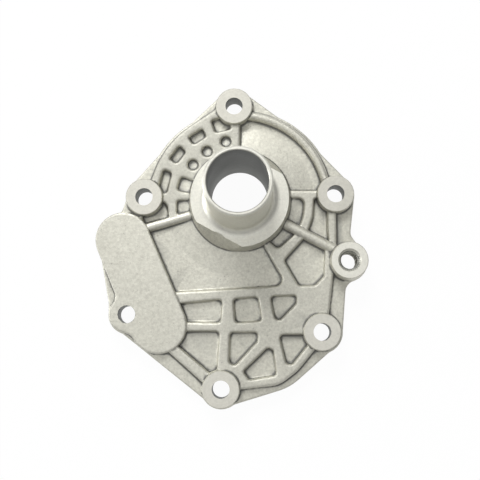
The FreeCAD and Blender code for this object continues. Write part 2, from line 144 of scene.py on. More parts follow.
# places of the materials on the casting
CAST, FACED, BORED, TURNED, FLAT = range(5)



def dim(mount, key):
    """A mount's size from the record, in metres."""
    return MOUNTS[mount]["dims"][key] * MM


# ---------------------------------------------------------------- settings
class CastingSettings(bpy.types.PropertyGroup):
    """Sizes of the raw casting and of the tools that cut it."""

    stock: bpy.props.FloatProperty(
        name="Machining stock", description="Extra metal on the faces that are machined",
        default=0.8 * MM, min=0.2 * MM, max=2 * MM, subtype="DISTANCE", unit="LENGTH")
    grain: bpy.props.FloatProperty(
        name="Skin cell", description="Size of the cells that the cast skin is rebuilt from",
        default=0.38 * MM, min=0.3 * MM, max=2 * MM, precision=5, subtype="DISTANCE", unit="LENGTH")
    softness: bpy.props.IntProperty(
        name="Softness", description="Passes that round the edges and roots of the cast skin",
        default=2, min=0, max=20)
    triangles: bpy.props.IntProperty(
        name="Triangles", description="Triangles kept in the cast skin",
        default=150000, min=20000, max=180000)
    boss_radius: bpy.props.FloatProperty(
        name="Boss radius", description="Machined seat round each flange bolt",
        default=9.5 * MM, subtype="DISTANCE", unit="LENGTH")
    rib_top: bpy.props.FloatProperty(
        name="Rib top", description="Height of the ribs above the joint face",
        default=10.5 * MM, subtype="DISTANCE", unit="LENGTH")
    rib_round: bpy.props.FloatProperty(
        name="Rib rounding", description="Height over which a rib's stained top fades out",
        default=1.0 * MM, subtype="DISTANCE", unit="LENGTH")
    # hollows tighter than this get the full painted shade
    root_radius: bpy.props.FloatProperty(
        name="Root radius", description="Hollows tighter than this are fully stained",
        default=2.5 * MM, subtype="DISTANCE", unit="LENGTH")
    broken_edge: bpy.props.FloatProperty(
        name="Broken edge", description="Chamfer that takes the sharp edge off each faced boss",
        default=0.4 * MM, subtype="DISTANCE", unit="LENGTH")
    collar_top: bpy.props.FloatProperty(
        name="Collar top", description="Height of the collar above the joint face",
        default=18.5 * MM, subtype="DISTANCE", unit="LENGTH")
    flare: bpy.props.FloatProperty(
        name="Snout flare", description="Radius between the snout and the collar's top",
        default=5 * MM, subtype="DISTANCE", unit="LENGTH")
    tip_chamfer: bpy.props.FloatProperty(
        name="Tip chamfer", description="Chamfer round the snout's tip",
        default=0.7 * MM, subtype="DISTANCE", unit="LENGTH")
    bore_chamfer: bpy.props.FloatProperty(
        name="Bore chamfer", description="Chamfer inside the snout's tip",
        default=0.4 * MM, subtype="DISTANCE", unit="LENGTH")
    mouth_radius: bpy.props.FloatProperty(
        name="Thread mouth", description="Radius of the countersunk mouth of the pivot thread",
        default=5.9 * MM, subtype="DISTANCE", unit="LENGTH")
    pitch: bpy.props.FloatProperty(
        name="Thread pitch", description="Pitch of the pivot stud's thread",
        default=1.5 * MM, subtype="DISTANCE", unit="LENGTH")
    thread_radius: bpy.props.FloatProperty(
        name="Thread radius", description="Outer radius of the pivot stud's thread",
        default=5 * MM, subtype="DISTANCE", unit="LENGTH")


class FinishSettings(bpy.types.PropertyGroup):
    """Colours and surface of the metal."""

    skin_colour: bpy.props.FloatVectorProperty(
        name="Cast skin", description="Colour of the as-cast aluminium",
        subtype="COLOR", default=(0.69, 0.68, 0.60), min=0, max=1)
    stain_colour: bpy.props.FloatVectorProperty(
        name="Die stain", description="Colour of the darker flow marks on the cast skin",
        subtype="COLOR", default=(0.50, 0.49, 0.43), min=0, max=1)
    speck_colour: bpy.props.FloatVectorProperty(
        name="Speck", description="Colour of the fine dark pores",
        subtype="COLOR", default=(0.30, 0.29, 0.26), min=0, max=1)
    faced_colour: bpy.props.FloatVectorProperty(
        name="Faced metal", description="Colour of the faced boss seats and the joint face",
        subtype="COLOR", default=(0.695, 0.68, 0.61), min=0, max=1)
    turned_colour: bpy.props.FloatVectorProperty(
        name="Turned metal", description="Colour of the turned snout and the thread",
        subtype="COLOR", default=(0.82, 0.81, 0.73), min=0, max=1)
    # darker than the metal: partly the duller bored metal, partly painted shade inside the bores
    bore_and_shade_colour: bpy.props.FloatVectorProperty(
        name="Bored metal", description="Colour of the duller metal inside the bores",
        subtype="COLOR", default=(0.24, 0.245, 0.23), min=0, max=1)
    # painted shade in the hollows of the ribs; the same dark colour also darkens the rib tops as a stain
    shade_and_stain_colour: bpy.props.FloatVectorProperty(
        name="Root stain", description="Colour of the shading in the roots of the ribs",
        subtype="COLOR", default=(0.17, 0.17, 0.16), min=0, max=1)
    # how much painted shade the hollows get
    root_shade: bpy.props.FloatProperty(
        name="Root strength", description="How much of the root stain shows",
        default=0.95, min=0, max=1, subtype="FACTOR")
    rib_stain: bpy.props.FloatProperty(
        name="Rib strength", description="How much darker the tops of the ribs are",
        default=0.2, min=0, max=1, subtype="FACTOR")
    skin_roughness: bpy.props.FloatProperty(
        name="Skin roughness", description="Roughness of the cast skin",
        default=0.53, min=0, max=1, subtype="FACTOR")
    cut_roughness: bpy.props.FloatProperty(
        name="Cut roughness", description="Roughness of the machined faces",
        default=0.6, min=0, max=1, subtype="FACTOR")
    mark_depth: bpy.props.FloatProperty(
        name="Tool mark depth", description="Depth of the rings that the turning tool leaves",
        default=0.006 * MM, precision=6, subtype="DISTANCE", unit="LENGTH")
    grit: bpy.props.FloatProperty(
        name="Grit", description="Height of the sandy grain of the cast skin",
        default=0.05 * MM, precision=6, subtype="DISTANCE", unit="LENGTH")


class StageSettings(bpy.types.PropertyGroup):
    """Light, floor and camera."""

    key_power: bpy.props.FloatProperty(
        name="Key light", description="Power of the soft light beyond and above the top boss",
        default=33.0, min=0, subtype="POWER", unit="POWER")
    side_power: bpy.props.FloatProperty(
        name="Side light", description="Power of the light on the lobe's side",
        default=6.0, min=0, subtype="POWER", unit="POWER")
    backdrop: bpy.props.FloatProperty(
        name="Backdrop", description="Brightness of the room near the floor",
        default=0.38, min=0)
    overhead: bpy.props.FloatProperty(
        name="Overhead", description="Brightness of the ceiling above the object",
        default=0.8, min=0)
    bright_side: bpy.props.FloatProperty(
        name="Bright side", description="Brightness of the room behind the key light",
        default=0.28, min=0)
    dark_side: bpy.props.FloatProperty(
        name="Dark side", description="Brightness of the rest of the room",
        default=0.02, min=0)
    floor_colour: bpy.props.FloatVectorProperty(
        name="Floor", description="Colour of the paper sweep",
        subtype="COLOR", default=(0.9, 0.9, 0.9), min=0, max=1)
    lens: bpy.props.FloatProperty(
        name="Lens", description="Focal length of the camera in millimetres",
        default=62.44, min=10)


# ---------------------------------------------------------------- mesh tools
def lathe(name, profile, centre=(0.0, 0.0), steps=TURN_STEPS):
    """A closed turned solid from (radius, height) points; radius 0 closes it on the axis."""
    on_axis = profile[0][0] == 0
    mesh = bmesh.new()
    rings = []
    for radius, height in profile:
        if radius == 0:
            rings.append([mesh.verts.new((centre[0], centre[1], height))])
            continue
        ring = []
        for step in range(steps):
            turn = 2 * math.pi * step / steps
            spot = (centre[0] + radius * math.cos(turn), centre[1] + radius * math.sin(turn), height)
            ring.append(mesh.verts.new(spot))
        rings.append(ring)
    pairs = list(zip(rings, rings[1:]))
    if not on_axis:
        pairs.append((rings[-1], rings[0]))
    for low, high in pairs:
        for step in range(steps):
            after = (step + 1) % steps
            if len(low) == 1:
                corners = [low[0], high[after], high[step]]
            elif len(high) == 1:
                corners = [low[step], low[after], high[0]]
            else:
                corners = [low[step], low[after], high[after], high[step]]
            mesh.faces.new(corners)
    return as_object(name, mesh)


def thread_form(name, centre, minor, major, pitch, bottom, top, steps=THREAD_STEPS):
    """A rod with a V thread, as a tap cuts it."""
    rows = round((top - bottom) / pitch * THREAD_ROWS)
    mesh = bmesh.new()
    rings = []
    for row in range(rows + 1):
        height = bottom + (top - bottom) * row / rows
        ring = []
        for step in range(steps):
            turn = 2 * math.pi * step / steps
            phase = (height / pitch - step / steps) % 1.0
            radius = minor + (major - minor) * (1 - abs(2 * phase - 1))
            ring.append(mesh.verts.new((
                centre[0] + radius * math.cos(turn), centre[1] + radius * math.sin(turn), height)))
        rings.append(ring)
    for low, high in zip(rings, rings[1:]):
        for step in range(steps):
            after = (step + 1) % steps
            mesh.faces.new([low[step], low[after], high[after], high[step]])
    mesh.faces.new(rings[0][::-1])
    mesh.faces.new(rings[-1])
    return as_object(name, mesh)


def as_object(name, mesh):
    bmesh.ops.recalc_face_normals(mesh, faces=mesh.faces)
    data = bpy.data.meshes.new(name)
    mesh.to_mesh(data)
    mesh.free()
    piece = bpy.data.objects.new(name, data)
    bpy.context.scene.collection.objects.link(piece)
    return piece


def settle(piece):
    """Turn a piece's modifiers into its mesh."""
    bpy.context.view_layer.update()
    view = bpy.context.evaluated_depsgraph_get()
    data = bpy.data.meshes.new_from_object(piece.evaluated_get(view))
    piece.modifiers.clear()
    piece.data = data


def scrap(piece):
    data = piece.data
    bpy.data.objects.remove(piece)
    bpy.data.meshes.remove(data)


def cut_away(piece, tool):
    """Take a tool's volume off the piece."""
    cut = piece.modifiers.new("cut", "BOOLEAN")
    cut.operation = "DIFFERENCE"
    cut.solver = "MANIFOLD"
    cut.object = tool
    settle(piece)
    scrap(tool)


def block(name, low, high):
    mesh = bmesh.new()
    bmesh.ops.create_cube(mesh, size=1)
    for vertex in mesh.verts:
        for axis in range(3):
            vertex.co[axis] = low[axis] if vertex.co[axis] < 0 else high[axis]
    return as_object(name, mesh)


def seat_top(name):
    """Height of the face that a bolt's head sits on."""
    return dim(name, "length_mm")


# ---------------------------------------------------------------- raw casting
def snout_outline(sizes, stock):
    """Outside of the snout and its flare, with stock, from the tip to the collar's top."""
    radius = dim("snout", "r_mm")
    points = [(radius + stock, HIGHEST.z + stock)]
    flare = sizes.flare
    for step in range(FLARE_STEPS + 1):
        turn = math.radians(90 * step / FLARE_STEPS)
        points.append((
            radius + stock + flare * (1 - math.cos(turn)),
            sizes.collar_top + stock + flare * (1 - math.sin(turn))))
    return points


def stocked_copy(sizes):
    """The frame's casting with its machined faces moved out by the stock."""
    mesh = bmesh.new()
    mesh.from_mesh(frame["nodes"][NODE].data)
    bmesh.ops.remove_doubles(mesh, verts=mesh.verts, dist=WELD)
    seats = [(MOUNTS[name]["pos_m"], seat_top(name)) for name in BOLTS if seat_top(name) > ear_top()]
    pivot = MOUNTS["fork_pivot_thread"]["pos_m"]
    pivot_top = pivot_face()
    for vertex in mesh.verts:
        spot = vertex.co
        if spot.z < ON_FACE:
            spot.z = -sizes.stock
        elif abs(spot.z - sizes.collar_top) < ON_FACE:
            spot.z += sizes.stock
        elif abs(spot.z - pivot_top) < ON_FACE and reach(spot, pivot) < sizes.boss_radius * PIVOT_REACH:
            spot.z += sizes.stock
        for centre, top in seats:
            if abs(spot.z - top) < ON_FACE and reach(spot, centre) < sizes.boss_radius * SEAT_REACH:
                spot.z += sizes.stock
    return as_object("raw_casting", mesh)


def ear_top():
    return seat_top("bolt_hole_ear")


def pivot_face():
    """Height of the pivot boss, which the record gives by its thread and mouth."""
    sizes = bpy.context.scene.cover_casting
    sink = sizes.mouth_radius - dim("fork_pivot_thread", "r_mm")
    return dim("fork_pivot_thread", "length_mm") + sink


def reach(spot, centre):
    return math.hypot(spot[0] - centre[0], spot[1] - centre[1])


def plug(name, centre, radius, bottom, top):
    return lathe(name, [(0, bottom), (radius, bottom), (radius, top), (0, top)], centre, DRILL_STEPS)


def filled(sizes):
    """Plugs that close the bores of the raw casting, and the core that gives the snout its stock."""
    stock = sizes.stock
    plugs = []
    for name in BOLTS:
        top = seat_top(name)
        if top > ear_top():
            top += stock
        plugs.append(plug(name, MOUNTS[name]["pos_m"], dim(name, "r_mm") + stock / 2, -stock, top))
    centre = MOUNTS["fork_pivot_thread"]["pos_m"]
    plugs.append(plug("pivot", centre, sizes.mouth_radius + stock / 2, -stock, pivot_face() + stock))
    seat = dim("bearing_seat", "r_mm") + stock
    seat_floor = dim("bearing_seat", "length_mm") + stock
    seal = dim("seal_seat", "r_mm") + stock
    seal_floor = seat_floor + dim("seal_seat", "length_mm")
    core = [(0, -stock), (seat, -stock), (seat, seat_floor), (seal, seat_floor), (seal, seal_floor)]
    core += reversed(snout_outline(sizes, stock)[:-FLARE_TAIL])
    core.append((0, HIGHEST.z + stock))
    plugs.append(lathe("core", core))
    return plugs


def join(pieces):
    """One mesh of several overlapping closed ones; the skin cells then unite them."""
    whole = bmesh.new()
    for piece in pieces:
        whole.from_mesh(piece.data)
        scrap(piece)
    return as_object("raw_casting", whole)


def raw_casting():
    sizes = bpy.context.scene.cover_casting
    casting = join([stocked_copy(sizes)] + filled(sizes))
    skin = casting.modifiers.new("skin", "REMESH")
    skin.mode = "VOXEL"
    skin.voxel_size = sizes.grain
    soften = casting.modifiers.new("soften", "SMOOTH")
    soften.factor = SOFTENING
    soften.iterations = sizes.softness
    settle(casting)
    bm = bmesh.new()
    bm.from_mesh(casting.data)
    bmesh.ops.triangulate(bm, faces=bm.faces)
    bm.to_mesh(casting.data)
    bm.free()
    count = len(casting.data.polygons)
    if count > sizes.triangles:
        thin = casting.modifiers.new("thin", "DECIMATE")
        thin.ratio = sizes.triangles / count
        settle(casting)
    return casting


class COVER_OT_raw_casting(bpy.types.Operator):
    """Make the raw casting, with stock on the faces that are machined"""

    bl_idname = "cover.raw_casting"
    bl_label = "Raw casting"

    def execute(self, context):
        raw_casting()
        return {"FINISHED"}


# ---------------------------------------------------------------- machining
def machine(casting, sizes):
    """Face, turn, bore and tap the casting."""
    over = 2 * sizes.stock
    margin = 20 * MM
    low = Vector((LOWEST.x - margin, LOWEST.y - margin, -over))
    high = Vector((HIGHEST.x + margin, HIGHEST.y + margin, 0.0))
    cut_away(casting, block("joint_face_tool", low, high))
    for name in BOLTS:
        centre = MOUNTS[name]["pos_m"]
        radius = dim(name, "r_mm")
        top = seat_top(name)
        if top > ear_top():
            face_boss(casting, sizes, over, centre, top)
        cut_away(casting, lathe("drill", [
            (0, -over), (radius, -over), (radius, top + over), (0, top + over)], centre, DRILL_STEPS))
    turn_snout(casting, sizes, over)
    bore_through(casting, sizes, over)
    tap_pivot(casting, sizes, over)


def face_boss(casting, sizes, over, centre, top):
    """Face a boss and break the sharp edge round it."""
    rim, edge = sizes.boss_radius, sizes.broken_edge
    wide = rim + over
    cut_away(casting, lathe("facing_tool", [
        (0, top), (wide, top), (wide, top + over), (0, top + over)], centre, DRILL_STEPS))
    clear = rim + 2 * edge
    below = top - 1.5 * edge
    cut_away(casting, lathe("edge_tool", [
        (rim - edge, top), (rim + edge / 2, below), (clear, below),
        (clear, top + over), (rim - edge, top + over)], centre, DRILL_STEPS))


def turn_snout(casting, sizes, over):
    radius = dim("snout", "r_mm")
    tip = sizes.tip_chamfer
    wide = radius + 3 * sizes.flare
    above = HIGHEST.z + over
    profile = [(radius - tip - over, above), (radius - tip, HIGHEST.z), (radius, HIGHEST.z - tip)]
    profile += snout_outline(sizes, 0)[1:]
    profile += [(wide, sizes.collar_top), (wide, above)]
    cut_away(casting, lathe("turning_tool", profile))


def bore_through(casting, sizes, over):
    seat = dim("bearing_seat", "r_mm")
    seat_floor = dim("bearing_seat", "length_mm")
    seal = dim("seal_seat", "r_mm")
    seal_floor = seat_floor + dim("seal_seat", "length_mm")
    bore = dim("snout_bore", "r_mm")
    chamfer = sizes.bore_chamfer
    cut_away(casting, lathe("boring_tool", [
        (0, -over), (seat, -over), (seat, seat_floor), (seal, seat_floor), (seal, seal_floor),
        (bore, seal_floor), (bore, HIGHEST.z - chamfer), (bore + chamfer + over, HIGHEST.z + over),
        (0, HIGHEST.z + over)]))
    cut_away(casting, block(
        "parting_tool",
        Vector((-2 * seal, -2 * seal, HIGHEST.z)), Vector((2 * seal, 2 * seal, HIGHEST.z + over))))


def tap_pivot(casting, sizes, over):
    centre = MOUNTS["fork_pivot_thread"]["pos_m"]
    minor = dim("fork_pivot_thread", "r_mm")
    top = pivot_face()
    face_boss(casting, sizes, over, centre, top)
    mouth = sizes.mouth_radius
    cut_away(casting, lathe("countersink", [
        (0, top - mouth), (mouth + over, top + over), (0, top + over)], centre, DRILL_STEPS))
    cut_away(casting, thread_form(
        "tap", centre, minor, sizes.thread_radius, sizes.pitch, -over, top + over))


def clear_swarf(casting):
    """Merge the slivers that the tools leave and drop every loose crumb."""
    mesh = bmesh.new()
    mesh.from_mesh(casting.data)
    bmesh.ops.remove_doubles(mesh, verts=mesh.verts, dist=SLIVER)
    bmesh.ops.dissolve_degenerate(mesh, edges=mesh.edges, dist=SLIVER)
    bmesh.ops.triangulate(mesh, faces=mesh.faces)
    unseen = set(mesh.verts)
    parts = []
    while unseen:
        part = [unseen.pop()]
        for vertex in part:
            for edge in vertex.link_edges:
                other = edge.other_vert(vertex)
                if other in unseen:
                    unseen.remove(other)
                    part.append(other)
        parts.append(part)
    parts.sort(key=len)
    crumbs = [vertex for part in parts[:-1] for vertex in part]
    bmesh.ops.delete(mesh, geom=crumbs, context="VERTS")
    mesh.to_mesh(casting.data)
    mesh.free()


def mean_reach(corners, centre):
    """Mean distance of a face's corners from an axis; the middle of a large face lies nearer."""
    return sum(reach(corner, centre) for corner in corners) / len(corners)


def finish_of(face, corners, axes, pivot, sizes):
    """Which finish a face has, and the centre that it was cut round."""
    spot = face.center
    lean = face.normal.z
    main = (0.0, 0.0)
    if lean < -LEVEL and abs(spot.z) < NEAR:
        return FLAT, main
    axis = min(axes, key=lambda entry: reach(spot, entry[0]))
    centre, radius, top = axis
    out = mean_reach(corners, centre)
    on_top = lean > LEVEL and abs(spot.z - top) < NEAR and top > ear_top()
    if on_top and out < sizes.boss_radius * FACED_REACH:
        return (TURNED if axis is pivot else FACED), centre
    # a tap cuts crests and roots alike; here the crests take the bright turned colour and the roots the
    # darker bored colour, as painted light on the crests and painted shade in the roots
    if axis is pivot and out < sizes.thread_radius * THREAD_REACH and lean < FLANK:
        crest = dim("fork_pivot_thread", "r_mm") * CREST_REACH
        return (TURNED if out < crest else BORED), centre
    if axis is pivot and out < sizes.mouth_radius:
        return TURNED, centre
    if out < radius * SEAT_REACH:
        return BORED, centre
    out = mean_reach(corners, main)
    if out < dim("snout_bore", "r_mm") + NEAR:
        return BORED, main
    if out < dim("snout", "r_mm") + sizes.flare + NEAR and spot.z > sizes.collar_top - NEAR:
        return TURNED, main
    if lean > LEVEL and abs(spot.z - sizes.collar_top) < NEAR:
        return TURNED, main
    if out < dim("bearing_seat", "r_mm") + NEAR and spot.z < BACK_HEIGHT and lean < BACK_LEAN:
        inside = out < dim("seal_seat", "r_mm") + NEAR or spot.z < dim("bearing_seat", "length_mm") + NEAR
        return (BORED if inside else CAST), main
    return CAST, main


def mark_faces(casting, sizes):
    """Give every machined face its finish and measure it from the axis that it was cut round."""
    data = casting.data
    axes = [(MOUNTS[name]["pos_m"], dim(name, "r_mm"), seat_top(name)) for name in BOLTS]
    pivot = (MOUNTS["fork_pivot_thread"]["pos_m"], sizes.thread_radius, pivot_face())
    axes.append(pivot)
    turning = data.attributes.new("turning", "FLOAT_VECTOR", "CORNER")
    for face in data.polygons:
        corners = [data.vertices[index].co for index in face.vertices]
        face.material_index, centre = finish_of(face, corners, axes, pivot, sizes)
        for corner in face.loop_indices:
            co = data.vertices[data.loops[corner].vertex_index].co
            turning.data[corner].vector = (co.x - centre[0], co.y - centre[1], co.z)
    data.shade_smooth()
    sharpen(data)


def sharpen(data):
    """Keep an edge sharp where a machined face meets another face at an angle."""
    sharp = math.cos(math.radians(SHARP_TURN_DEG))
    mesh = bmesh.new()
    mesh.from_mesh(data)
    for edge in mesh.edges:
        if len(edge.link_faces) != 2:
            continue
        one, two = edge.link_faces
        if one.material_index == CAST and two.material_index == CAST:
            continue
        limit = sharp if one.material_index == two.material_index else FINISH_COSINE
        if one.normal.dot(two.normal) < limit:
            edge.smooth = False
    mesh.to_mesh(data)
    mesh.free()


def mark_skin(casting, sizes):
    """Mark how hollow the cast skin is at each point, which sets its painted shade, and where it is the
    top of a rib.
    """
    data = casting.data
    mesh = bmesh.new()
    mesh.from_mesh(data)
    mesh.verts.ensure_lookup_table()
    around = [[edge.other_vert(vertex).index for edge in vertex.link_edges] for vertex in mesh.verts]
    bend = []
    for vertex, others in zip(mesh.verts, around):
        rise = 0.0
        for other in others:
            way = mesh.verts[other].co - vertex.co
            rise += 2 * way.dot(vertex.normal) / max(way.length_squared, SHORT_EDGE ** 2)
        bend.append(rise / max(len(others), 1))
    bend = [max(-SHARPEST, min(SHARPEST, value)) for value in bend]
    for turn in range(BEND_PASSES):
        bend = [(value + sum(bend[other] for other in others)) / (1 + len(others))
                for value, others in zip(bend, around)]
    mesh.free()
    roots = data.attributes.new("roots", "FLOAT", "POINT")
    ribs = data.attributes.new("ribs", "FLOAT", "POINT")
    for vertex, value in zip(data.vertices, bend):
        spot = vertex.co
        # the tighter the hollow, the more painted shade it gets
        hollow = (value * sizes.root_radius - FLAT_ENOUGH) / (1 - FLAT_ENOUGH)
        roots.data[vertex.index].value = max(0.0, min(1.0, hollow))
        depth = abs(spot.z - sizes.rib_top) / sizes.rib_round
        facing = Vector((spot.x, spot.y)).normalized().dot(Vector(RIB_STAIN_WAY))
        share = OTHER_RIBS + (1 - OTHER_RIBS) * max(0.0, min(1.0, (facing - FACING_START) / FACING_SPAN))
        ribs.data[vertex.index].value = share * max(0.0, 1 - depth)


class COVER_OT_machining(bpy.types.Operator):
    """Cut the seats, bores, snout and thread, and give every face its finish"""

    bl_idname = "cover.machining"
    bl_label = "Machining and finishes"

    def execute(self, context):
        sizes = context.scene.cover_casting
        casting = bpy.data.objects["raw_casting"]
        machine(casting, sizes)
        clear_swarf(casting)
        casting.name = "front_cover_casting"
        casting.data.materials.clear()
        for material in finishes(context.scene.cover_finish):
            casting.data.materials.append(material)
        mark_faces(casting, sizes)
        mark_skin(casting, sizes)
        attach(casting, BODY)
        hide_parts(NODE)
        return {"FINISHED"}


# ---------------------------------------------------------------- materials
def wire(tree, source, target):
    tree.links.new(source, target)


def value_node(tree, operation, first, second=None):
    node = tree.nodes.new("ShaderNodeMath")
    node.operation = operation
    for socket, given in zip(node.inputs, (first, second)):
        if given is None:
            continue
        if isinstance(given, (int, float)):
            socket.default_value = given
        else:
            wire(tree, given, socket)
    return node.outputs[0]


def noise(tree, vector, scale, detail, roughness, low, high):
    """A layer of noise, with the values from low to high spread over 0 to 1."""
    node = tree.nodes.new("ShaderNodeTexNoise")
    node.inputs["Scale"].default_value = scale
    node.inputs["Detail"].default_value = detail
    node.inputs["Roughness"].default_value = roughness
    wire(tree, vector, node.inputs["Vector"])
    return remap(tree, node.outputs["Fac"], low, high)


def remap(tree, value, low, high, new_low=0.0, new_high=1.0):
    node = tree.nodes.new("ShaderNodeMapRange")
    node.inputs["From Min"].default_value = low
    node.inputs["From Max"].default_value = high
    node.inputs["To Min"].default_value = new_low
    node.inputs["To Max"].default_value = new_high
    wire(tree, value, node.inputs["Value"])
    return node.outputs["Result"]


def blend_colours(tree, factor, first, second, mode="MIX"):
    node = tree.nodes.new("ShaderNodeMix")
    node.data_type = "RGBA"
    node.blend_type = mode
    for socket, given in zip((node.inputs[0], node.inputs[6], node.inputs[7]), (factor, first, second)):
        if isinstance(given, (int, float, tuple)):
            socket.default_value = given
        else:
            wire(tree, given, socket)
    return node.outputs[2]


def weighted_sum(tree, first, *others):
    """Sum of values that are each multiplied by a weight."""
    total = value_node(tree, "MULTIPLY", *first)
    for value, weight in others:
        total = value_node(tree, "ADD", total, value_node(tree, "MULTIPLY", value, weight))
    return total


def new_group(name, inputs, outputs):
    """An empty shader node group with named sockets."""
    tree = bpy.data.node_groups.new(name, "ShaderNodeTree")
    for label, kind, default in inputs:
        socket = tree.interface.new_socket(name=label, in_out="INPUT", socket_type=kind)
        if default is not None:
            socket.default_value = default
    for label, kind in outputs:
        tree.interface.new_socket(name=label, in_out="OUTPUT", socket_type=kind)
    return tree, tree.nodes.new("NodeGroupInput"), tree.nodes.new("NodeGroupOutput")


def grain_group():
    """Sandy grain, pores and mottling of aluminium."""
    tree, given, result = new_group(
        "Metal grain",
        [("Vector", "NodeSocketVector", None),
         ("Base", "NodeSocketColor", (0.6, 0.6, 0.6, 1)),
         ("Stain", "NodeSocketColor", (0.5, 0.5, 0.5, 1)),
         ("Speck", "NodeSocketColor", (0.2, 0.2, 0.2, 1)),
         ("Pores", "NodeSocketFloat", 0.5)],
        [("Colour", "NodeSocketColor"), ("Height", "NodeSocketFloat"), ("Wear", "NodeSocketFloat")])
    place = given.outputs["Vector"]
    broad = noise(tree, place, *BROAD_LAYER)
    fine = noise(tree, place, *FINE_LAYER)
    middle = noise(tree, place, *MIDDLE_LAYER)
    mottle = weighted_sum(tree, (broad, BROAD_SHARE), (middle, MIDDLE_SHARE), (fine, FINE_SHARE))
    colour = blend_colours(tree, mottle, given.outputs["Base"], given.outputs["Stain"])
    dots = tree.nodes.new("ShaderNodeTexVoronoi")
    dots.inputs["Scale"].default_value = PORE_SCALE
    wire(tree, place, dots.inputs["Vector"])
    pits = remap(tree, dots.outputs["Distance"], *PORE_EDGE, 1, 0)
    pits = value_node(tree, "MULTIPLY", pits, noise(tree, place, *PORE_PATCHES))
    pits = value_node(tree, "MULTIPLY", pits, given.outputs["Pores"])
    colour = blend_colours(tree, pits, colour, given.outputs["Speck"])
    height = weighted_sum(tree, (fine, FINE_HEIGHT), (middle, MIDDLE_HEIGHT))
    height = value_node(tree, "SUBTRACT", height, pits)
    wire(tree, colour, result.inputs["Colour"])
    wire(tree, height, result.inputs["Height"])
    wire(tree, broad, result.inputs["Wear"])
    return tree


def tool_mark_group():
    """Rings that a turning or facing tool leaves round its axis."""
    tree, given, result = new_group(
        "Tool marks",
        [("Vector", "NodeSocketVector", None), ("Feed", "NodeSocketFloat", 4000.0),
         ("Along", "NodeSocketFloat", 0.0)],
        [("Height", "NodeSocketFloat"), ("Streak", "NodeSocketFloat")])
    split = tree.nodes.new("ShaderNodeSeparateXYZ")
    wire(tree, given.outputs["Vector"], split.inputs[0])
    across = value_node(tree, "POWER", split.outputs["X"], 2.0)
    up = value_node(tree, "POWER", split.outputs["Y"], 2.0)
    radius = value_node(tree, "SQRT", value_node(tree, "ADD", across, up))
    along = value_node(tree, "MULTIPLY", split.outputs["Z"], given.outputs["Along"])
    travel = value_node(tree, "ADD", radius, along)
    rings = value_node(tree, "SINE", value_node(tree, "MULTIPLY", travel, given.outputs["Feed"]))
    spot = tree.nodes.new("ShaderNodeCombineXYZ")
    wire(tree, value_node(tree, "MULTIPLY", travel, STREAK_DENSITY), spot.inputs[0])
    wire(tree, rings, result.inputs["Height"])
    wire(tree, noise(tree, spot.outputs[0], *STREAK_LAYER), result.inputs["Streak"])
    return tree


def metal(name, finish, grain, roughness, marks=None, colour=None, metallic=0.8, feed=None, along=0.0):
    """One finish of the casting's aluminium; a colour of its own marks it as machined."""
    material = bpy.data.materials.new(name)
    material.use_nodes = True
    tree = material.node_tree
    tree.nodes.clear()
    output = tree.nodes.new("ShaderNodeOutputMaterial")
    shader = tree.nodes.new("ShaderNodeBsdfPrincipled")
    wire(tree, shader.outputs[0], output.inputs[0])
    place = tree.nodes.new("ShaderNodeTexCoord")
    skin = tree.nodes.new("ShaderNodeGroup")
    skin.node_tree = grain
    wire(tree, place.outputs["Object"], skin.inputs["Vector"])
    bright = colour is not None
    base = colour if bright else finish.skin_colour
    stain = tuple(channel * CUT_STAIN for channel in colour) if bright else finish.stain_colour
    skin.inputs["Base"].default_value = (*base, 1)
    skin.inputs["Stain"].default_value = (*stain, 1)
    skin.inputs["Speck"].default_value = (*finish.speck_colour, 1)
    skin.inputs["Pores"].default_value = CUT_PORES if bright else CAST_PORES
    shader.inputs["Metallic"].default_value = metallic
    bump = tree.nodes.new("ShaderNodeBump")
    bump.inputs["Distance"].default_value = finish.grit
    bump.inputs["Strength"].default_value = CUT_BUMP if bright else CAST_BUMP
    wire(tree, skin.outputs["Height"], bump.inputs["Height"])
    tint = skin.outputs["Colour"]
    worn = remap(tree, skin.outputs["Wear"], 0, 1, roughness - WEAR_SMOOTH, roughness + WEAR_ROUGH)
    # painted shade in the hollows, from the roots mask, and a darker stain on the rib tops, both in one
    # dark colour
    if not bright:
        for attribute, strength in (("roots", finish.root_shade), ("ribs", finish.rib_stain)):
            where = tree.nodes.new("ShaderNodeAttribute")
            where.attribute_name = attribute
            share = value_node(tree, "MULTIPLY", where.outputs["Fac"], strength)
            tint = blend_colours(tree, share, tint, (*finish.shade_and_stain_colour, 1))
    if marks:
        axis = tree.nodes.new("ShaderNodeAttribute")
        axis.attribute_name = "turning"
        rings = tree.nodes.new("ShaderNodeGroup")
        rings.node_tree = marks
        rings.inputs["Feed"].default_value = feed
        rings.inputs["Along"].default_value = along
        wire(tree, axis.outputs["Vector"], rings.inputs["Vector"])
        cut = tree.nodes.new("ShaderNodeBump")
        cut.inputs["Distance"].default_value = finish.mark_depth
        cut.inputs["Strength"].default_value = RING_STRENGTH
        wire(tree, rings.outputs["Height"], cut.inputs["Height"])
        wire(tree, bump.outputs["Normal"], cut.inputs["Normal"])
        bump = cut
        tone = remap(tree, rings.outputs["Streak"], 0, 1, STREAK_DARK, STREAK_LIGHT)
        grey = tree.nodes.new("ShaderNodeCombineColor")
        for socket in grey.inputs:
            wire(tree, tone, socket)
        tint = blend_colours(tree, 1.0, tint, grey.outputs[0], "MULTIPLY")
    wire(tree, tint, shader.inputs["Base Color"])
    wire(tree, worn, shader.inputs["Roughness"])
    wire(tree, bump.outputs["Normal"], shader.inputs["Normal"])
    return material


